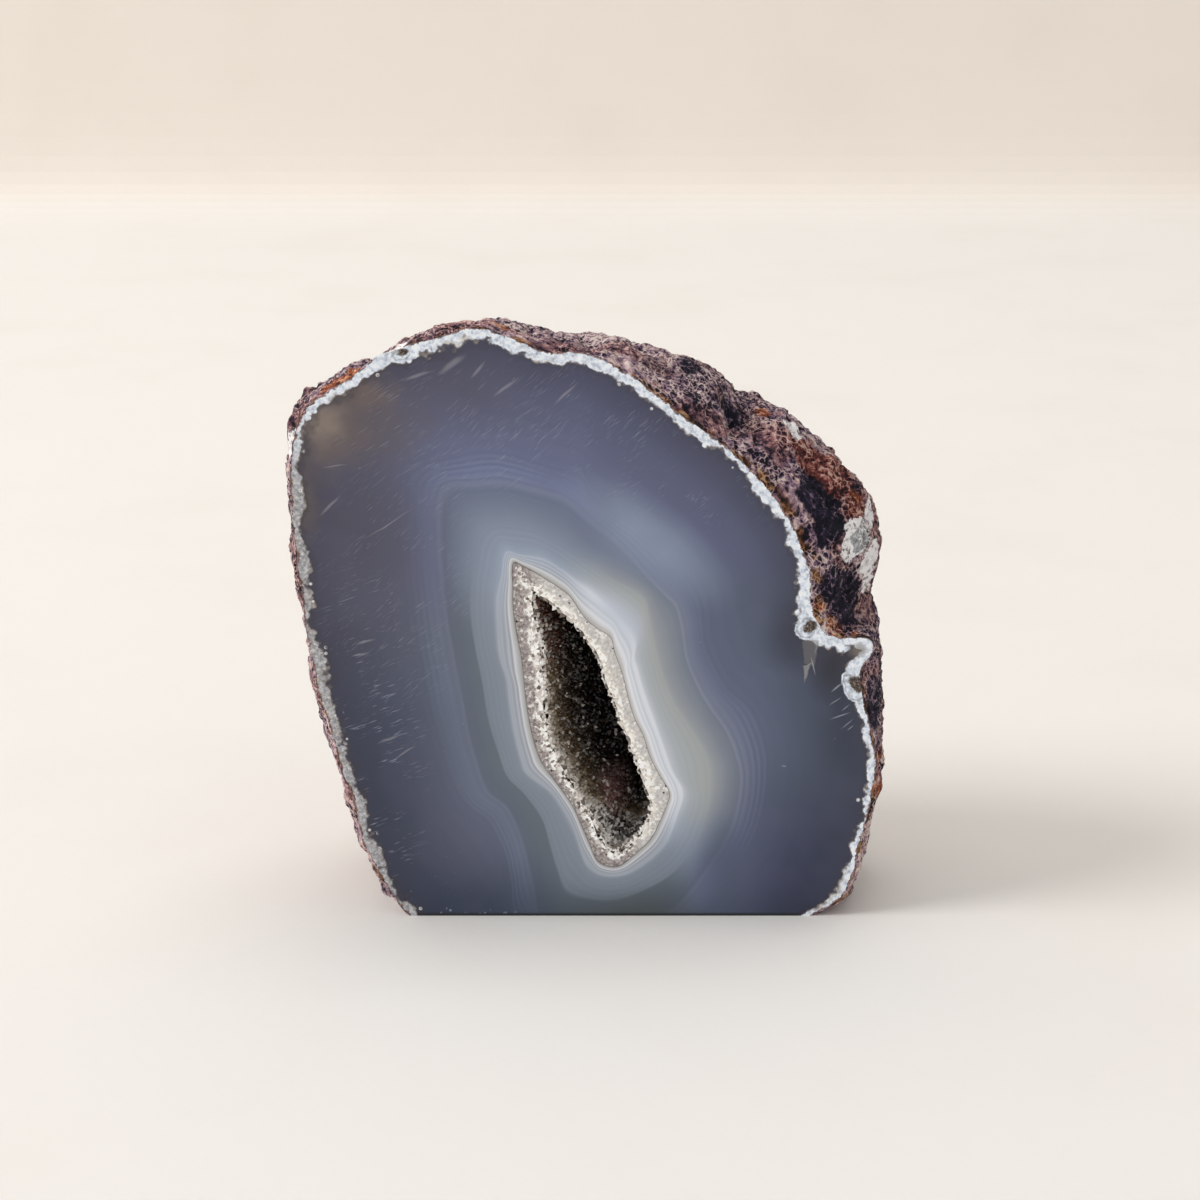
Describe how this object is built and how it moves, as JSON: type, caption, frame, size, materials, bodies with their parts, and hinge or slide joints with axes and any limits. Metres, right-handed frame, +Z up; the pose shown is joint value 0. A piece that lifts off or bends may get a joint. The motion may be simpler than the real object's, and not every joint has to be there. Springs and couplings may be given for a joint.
{
  "type": "agate geode",
  "caption": "Half of an agate nodule, standing on a sawn base: a flat polished face with banding round a slanting hollow lined with quartz crystals, and a rough natural rind behind.",
  "frame": {"origin": "on the surface that the stone stands on, under the middle of its bounding box", "axes": "+Z up, away from the sawn base; the polished face looks along -Y and the rind bulges towards +Y; +X to the right as the polished face is looked at"},
  "size_m": [0.0907, 0.0458, 0.0917],
  "materials": {
    "agate": "polished on the front, sawn matte underneath and rough natural rind round the back",
    "quartz": "small glassy crystal points, polished flat where the front face cuts them"
  },
  "bodies": {
    "root": {"agate_stone": "agate", "crystal_crust": "quartz"}
  },
  "joints": []
}
